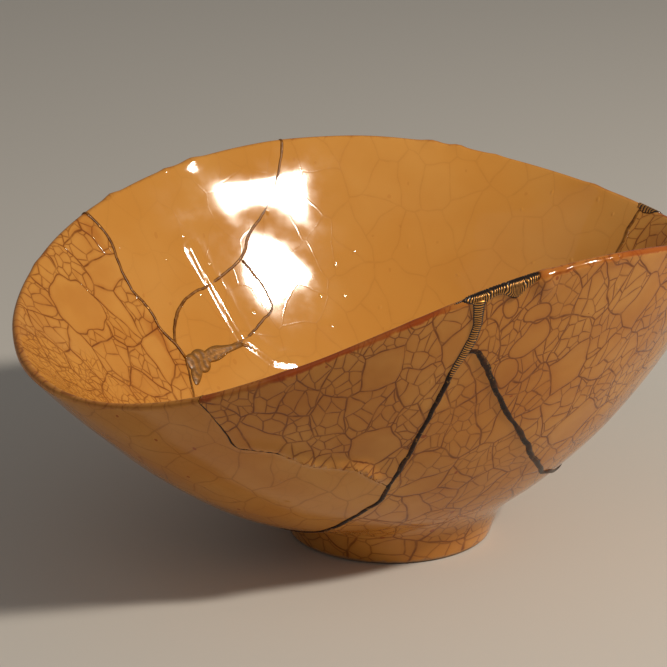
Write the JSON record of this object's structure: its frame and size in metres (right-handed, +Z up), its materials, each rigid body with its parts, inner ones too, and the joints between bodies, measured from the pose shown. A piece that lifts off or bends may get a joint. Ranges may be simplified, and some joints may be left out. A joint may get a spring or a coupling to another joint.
{
  "type": "kintsugi bowl",
  "caption": "Low oval footed tea bowl with a sweeping saddle rim, crackled cream glaze, and broken walls rejoined along dark lacquer seams with gold-filled rim chips.",
  "frame": {"origin": "on the surface the foot ring stands on, under the middle of the bowl's overall box", "axes": "+Z up; +X along the bowl's long axis, towards the end with the higher rim; +Y towards the side of the rim opposite the gold-filled front chip"},
  "size_m": [0.154, 0.1312, 0.0747],
  "materials": {
    "glaze": "glossy cream crackle glaze with brown crackle lines and an iron-red rim",
    "lacquer": "glossy dark brown lacquer with worn gold dust",
    "gold": "wrinkled gold over dark lacquer, semi-gloss"
  },
  "bodies": {
    "root": {"main_body_shard": "glaze", "right_end_shard": "glaze", "front_shard": "glaze", "left_end_shard": "glaze", "back_left_shard": "glaze", "inner_left_shard": "glaze", "lacquer_seams": "lacquer", "gold_front_rim_fill": "gold", "gold_back_rim_fill": "gold", "gold_inner_patch": "gold"}
  },
  "joints": []
}
